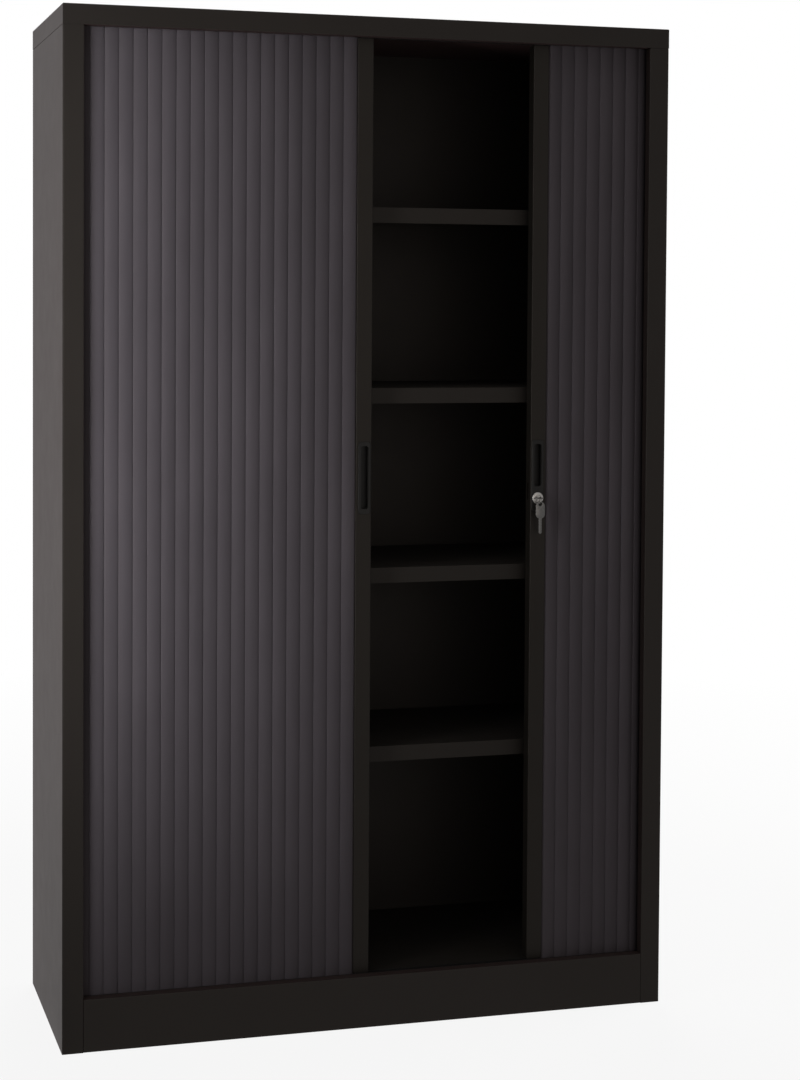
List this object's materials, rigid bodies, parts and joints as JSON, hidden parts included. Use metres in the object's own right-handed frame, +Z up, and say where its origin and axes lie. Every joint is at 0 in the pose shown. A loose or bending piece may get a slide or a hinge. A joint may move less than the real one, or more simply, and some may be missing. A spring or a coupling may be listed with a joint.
{
  "type": "roller shutter office cabinet",
  "caption": "Tall sheet steel office cabinet whose slatted curtains slide sideways round the front corners, with shelves, lead rails, finger grips and a hook lock.",
  "frame": {"origin": "on the floor under the middle of the carcass", "axes": "+Z up, -Y out of the front, +X to the right seen from the front"},
  "size_m": [1.2, 0.45, 1.95],
  "materials": {
    "carcass_paint": "satin black powder coat",
    "shelf_paint": "satin black powder coat",
    "rail_paint": "satin black powder coat",
    "slat_plastic": "dark anthracite extruded plastic with fine lines",
    "track_plastic": "black extruded plastic",
    "grip_plastic": "black moulded plastic",
    "stop_rubber": "black rubber",
    "zinc_steel": "bright zinc plate",
    "lock_nickel": "polished nickel plate",
    "key_nickel": "nickel plate"
  },
  "bodies": {
    "carcass": {"left_side_panel": "carcass_paint", "right_side_panel": "carcass_paint", "top_panel": "carcass_paint", "back_panel": "carcass_paint", "front_plinth": "carcass_paint", "base_plate": "carcass_paint", "ceiling_plate": "carcass_paint", "floor_panel": "shelf_paint", "left_lining": "shelf_paint", "right_lining": "shelf_paint", "left_lower_track": "track_plastic", "right_lower_track": "track_plastic", "left_upper_track": "track_plastic", "right_upper_track": "track_plastic", "end_stops": "stop_rubber", "shelf_1": "shelf_paint", "shelf_2": "shelf_paint", "shelf_3": "shelf_paint", "shelf_4": "shelf_paint", "shelf_clips": "zinc_steel", "foot_nuts": "zinc_steel"},
    "front_left_foot": {"front_left_foot": "grip_plastic"},
    "front_right_foot": {"front_right_foot": "grip_plastic"},
    "rear_left_foot": {"rear_left_foot": "grip_plastic"},
    "rear_right_foot": {"rear_right_foot": "grip_plastic"},
    "left_door": {"left_lead_rail": "rail_paint", "left_glides": "track_plastic", "left_grip": "grip_plastic", "keeper_plate": "zinc_steel", "left_front_slats": "slat_plastic"},
    "right_door": {"right_lead_rail": "rail_paint", "right_glides": "track_plastic", "right_grip": "grip_plastic", "lock_barrel": "lock_nickel", "right_front_slats": "slat_plastic"},
    "lock": {"lock_plug": "lock_nickel", "lock_hook": "zinc_steel", "hook_nut": "zinc_steel"},
    "key": {"door_key": "key_nickel", "key_ring": "key_nickel"},
    "spare_key": {"spare_key": "key_nickel"},
    "left_bend_slat_1": {"left_bend_slat_1": "slat_plastic"},
    "left_bend_slat_2": {"left_bend_slat_2": "slat_plastic"},
    "left_wrap_slats": {"left_wrap_slats": "slat_plastic"},
    "left_corner_slat_1": {"left_corner_slat_1": "slat_plastic"},
    "left_corner_slat_2": {"left_corner_slat_2": "slat_plastic"},
    "left_tail_slat": {"left_tail_slat": "slat_plastic"},
    "right_bend_slat_1": {"right_bend_slat_1": "slat_plastic"},
    "right_bend_slat_2": {"right_bend_slat_2": "slat_plastic"},
    "right_wrap_slats": {"right_wrap_slats": "slat_plastic"},
    "right_corner_slat_1": {"right_corner_slat_1": "slat_plastic"},
    "right_corner_slat_2": {"right_corner_slat_2": "slat_plastic"},
    "right_tail_slat": {"right_tail_slat": "slat_plastic"}
  },
  "joints": [
    {"name": "front_left_foot_level", "type": "slide", "parent": "carcass", "child": "front_left_foot", "axis": [0, 0, -1], "range_m": [0, 0.015]},
    {"name": "front_right_foot_level", "type": "slide", "parent": "carcass", "child": "front_right_foot", "axis": [0, 0, -1], "range_m": [0, 0.015]},
    {"name": "rear_left_foot_level", "type": "slide", "parent": "carcass", "child": "rear_left_foot", "axis": [0, 0, -1], "range_m": [0, 0.015]},
    {"name": "rear_right_foot_level", "type": "slide", "parent": "carcass", "child": "rear_right_foot", "axis": [0, 0, -1], "range_m": [0, 0.015]},
    {"name": "left_door_slide", "type": "slide", "parent": "carcass", "child": "left_door", "axis": [-1, 0, 0], "range_m": [0, 0.324]},
    {"name": "left_bend_slat_1_run", "type": "hinge", "parent": "carcass", "child": "left_bend_slat_1", "pos_m": [-0.384, 0.62043, 1], "axis": [0, 0, -1], "range_deg": [0, 22.5], "deforming": ["left_bend_slat_1"]},
    {"name": "left_bend_slat_2_run", "type": "hinge", "parent": "carcass", "child": "left_bend_slat_2", "pos_m": [-0.40224, 0.05208, 1], "axis": [0, 0, -1], "range_deg": [0, 67.5], "deforming": ["left_bend_slat_2"]},
    {"name": "left_wrap_slats_run", "type": "hinge", "parent": "carcass", "child": "left_wrap_slats", "pos_m": [-0.411, -0.02372, 1], "axis": [0, 0, -1], "range_deg": [0, 90], "deforming": ["left_wrap_slats"]},
    {"name": "left_corner_slat_1_run", "type": "hinge", "parent": "carcass", "child": "left_corner_slat_1", "pos_m": [-0.3352, -0.01496, 1], "axis": [0, 0, -1], "range_deg": [0, 67.5], "deforming": ["left_corner_slat_1"]},
    {"name": "left_corner_slat_2_run", "type": "hinge", "parent": "carcass", "child": "left_corner_slat_2", "pos_m": [0.23315, 0.00328, 1], "axis": [0, 0, -1], "range_deg": [0, 22.5], "deforming": ["left_corner_slat_2"]},
    {"name": "left_tail_slat_run", "type": "slide", "parent": "carcass", "child": "left_tail_slat", "axis": [0, 1, 0], "range_m": [0, 0.324]},
    {"name": "right_door_slide", "type": "slide", "parent": "carcass", "child": "right_door", "axis": [-1, 0, 0], "range_m": [0, 0.324]},
    {"name": "right_bend_slat_1_run", "type": "hinge", "parent": "carcass", "child": "right_bend_slat_1", "pos_m": [0.384, 0.62043, 1], "axis": [0, 0, -1], "range_deg": [0, 22.5], "deforming": ["right_bend_slat_1"]},
    {"name": "right_bend_slat_2_run", "type": "hinge", "parent": "carcass", "child": "right_bend_slat_2", "pos_m": [0.40224, 0.05208, 1], "axis": [0, 0, -1], "range_deg": [0, 67.5], "deforming": ["right_bend_slat_2"]},
    {"name": "right_wrap_slats_run", "type": "hinge", "parent": "carcass", "child": "right_wrap_slats", "pos_m": [0.411, -0.02372, 1], "axis": [0, 0, -1], "range_deg": [0, 90], "deforming": ["right_wrap_slats"]},
    {"name": "right_corner_slat_1_run", "type": "hinge", "parent": "carcass", "child": "right_corner_slat_1", "pos_m": [0.3352, -0.01496, 1], "axis": [0, 0, -1], "range_deg": [0, 67.5], "deforming": ["right_corner_slat_1"]},
    {"name": "right_corner_slat_2_run", "type": "hinge", "parent": "carcass", "child": "right_corner_slat_2", "pos_m": [-0.23315, 0.00328, 1], "axis": [0, 0, -1], "range_deg": [0, 22.5], "deforming": ["right_corner_slat_2"]},
    {"name": "right_tail_slat_run", "type": "slide", "parent": "carcass", "child": "right_tail_slat", "axis": [0, -1, 0], "range_m": [0, 0.324]},
    {"name": "lock_turn", "type": "hinge", "parent": "right_door", "child": "lock", "pos_m": [0.3394, -0.2052, 1.021], "axis": [0, -1, 0], "range_deg": [0, 90]},
    {"name": "key_withdraw", "type": "slide", "parent": "lock", "child": "key", "axis": [0, -1, 0], "range_m": [0, 0.018]},
    {"name": "spare_key_hang", "type": "hinge", "parent": "key", "child": "spare_key", "pos_m": [0.3394, -0.21876, 1.01275], "axis": [0, -1, 0], "range_deg": [-90.01, 0]}
  ],
  "couplings": [
    {"joint": "left_bend_slat_1_run", "follows": "left_door_slide", "rad_per_m": 1.212},
    {"joint": "left_bend_slat_2_run", "follows": "left_door_slide", "rad_per_m": 3.6361},
    {"joint": "left_wrap_slats_run", "follows": "left_door_slide", "rad_per_m": 4.8481},
    {"joint": "left_corner_slat_1_run", "follows": "left_door_slide", "rad_per_m": 3.6361},
    {"joint": "left_corner_slat_2_run", "follows": "left_door_slide", "rad_per_m": 1.212},
    {"joint": "left_tail_slat_run", "follows": "left_door_slide", "ratio": 1},
    {"joint": "right_bend_slat_1_run", "follows": "right_door_slide", "rad_per_m": 1.212},
    {"joint": "right_bend_slat_2_run", "follows": "right_door_slide", "rad_per_m": 3.6361},
    {"joint": "right_wrap_slats_run", "follows": "right_door_slide", "rad_per_m": 4.8481},
    {"joint": "right_corner_slat_1_run", "follows": "right_door_slide", "rad_per_m": 3.6361},
    {"joint": "right_corner_slat_2_run", "follows": "right_door_slide", "rad_per_m": 1.212},
    {"joint": "right_tail_slat_run", "follows": "right_door_slide", "ratio": 1},
    {"joint": "spare_key_hang", "follows": "lock_turn", "ratio": -1}
  ]
}
